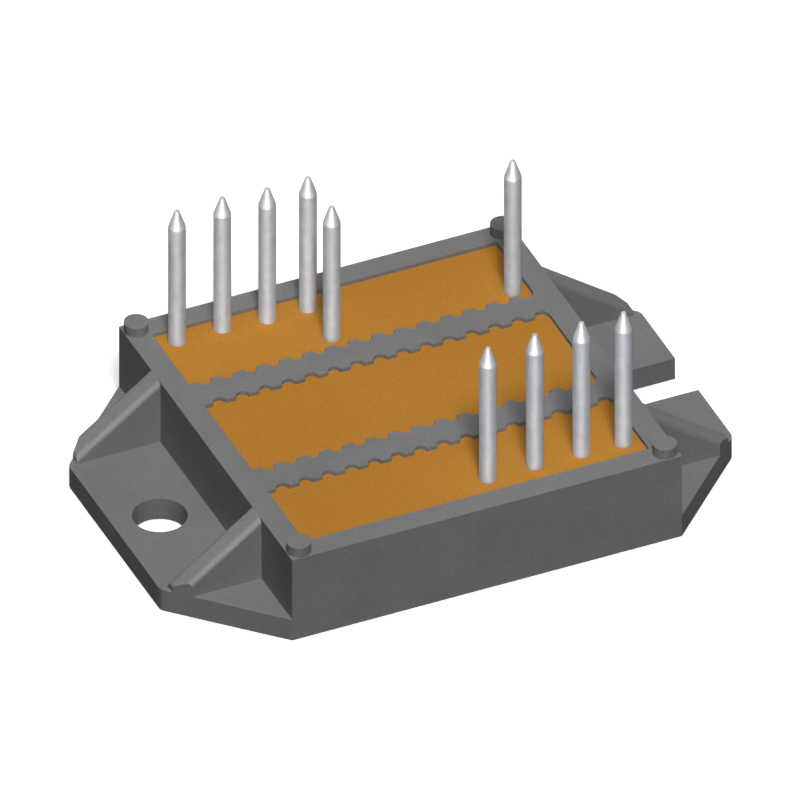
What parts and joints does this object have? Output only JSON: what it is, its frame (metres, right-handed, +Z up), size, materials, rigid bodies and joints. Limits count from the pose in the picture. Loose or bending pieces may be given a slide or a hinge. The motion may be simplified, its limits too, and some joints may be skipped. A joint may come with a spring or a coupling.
{
  "type": "thyristor diode module",
  "caption": "Potted power semiconductor module: square plastic frame with a drilled and a slotted mounting ear, solder pins on top and a flat ceramic base for a heatsink.",
  "frame": {"origin": "centre of the mounting face on the underside, which is the bottom centre of the part", "axes": "+X towards the slotted ear, +Y towards the back row of pins, +Z up along the pins"},
  "size_m": [0.063, 0.0428, 0.0261],
  "materials": {
    "housing_plastic": "matt grey moulded plastic",
    "potting_resin": "orange-brown cast resin, fine grain",
    "tinned_copper": "tinned copper, satin",
    "copper": "bonded copper foil, satin",
    "alumina": "white alumina, matt",
    "sealant": "pale silicone adhesive",
    "gel": "clear silicone gel",
    "silicon": "polished silicon with a metal face",
    "bond_wire_aluminium": "drawn aluminium wire",
    "solder": "soft solder"
  },
  "bodies": {
    "root": {"base_copper": "copper", "ceramic_substrate": "alumina", "conductor_ac_one": "copper", "conductor_ac_two": "copper", "conductor_gate_one": "copper", "conductor_gate_two": "copper", "conductor_minus": "copper", "conductor_plus": "copper", "diode_chip_one": "silicon", "diode_chip_one_solder": "solder", "diode_chip_two": "silicon", "diode_chip_two_solder": "solder", "diode_one_wires": "bond_wire_aluminium", "diode_two_wires": "bond_wire_aluminium", "edge_sealant": "sealant", "freewheel_diode_chip": "silicon", "freewheel_diode_chip_solder": "solder", "freewheel_diode_wires": "bond_wire_aluminium", "gate_one_wire": "bond_wire_aluminium", "gate_two_wire": "bond_wire_aluminium", "housing": "housing_plastic", "pin_solder_1": "solder", "pin_solder_10": "solder", "pin_solder_2": "solder", "pin_solder_3": "solder", "pin_solder_4": "solder", "pin_solder_5": "solder", "pin_solder_6": "solder", "pin_solder_7": "solder", "pin_solder_8": "solder", "pin_solder_9": "solder", "potting_resin": "potting_resin", "silicone_gel": "gel", "terminal_pin_1": "tinned_copper", "terminal_pin_10": "tinned_copper", "terminal_pin_2": "tinned_copper", "terminal_pin_3": "tinned_copper", "terminal_pin_4": "tinned_copper", "terminal_pin_5": "tinned_copper", "terminal_pin_6": "tinned_copper", "terminal_pin_7": "tinned_copper", "terminal_pin_8": "tinned_copper", "terminal_pin_9": "tinned_copper", "thyristor_chip_one": "silicon", "thyristor_chip_one_solder": "solder", "thyristor_chip_two": "silicon", "thyristor_chip_two_solder": "solder", "thyristor_one_wires": "bond_wire_aluminium", "thyristor_two_wires": "bond_wire_aluminium"}
  },
  "joints": []
}
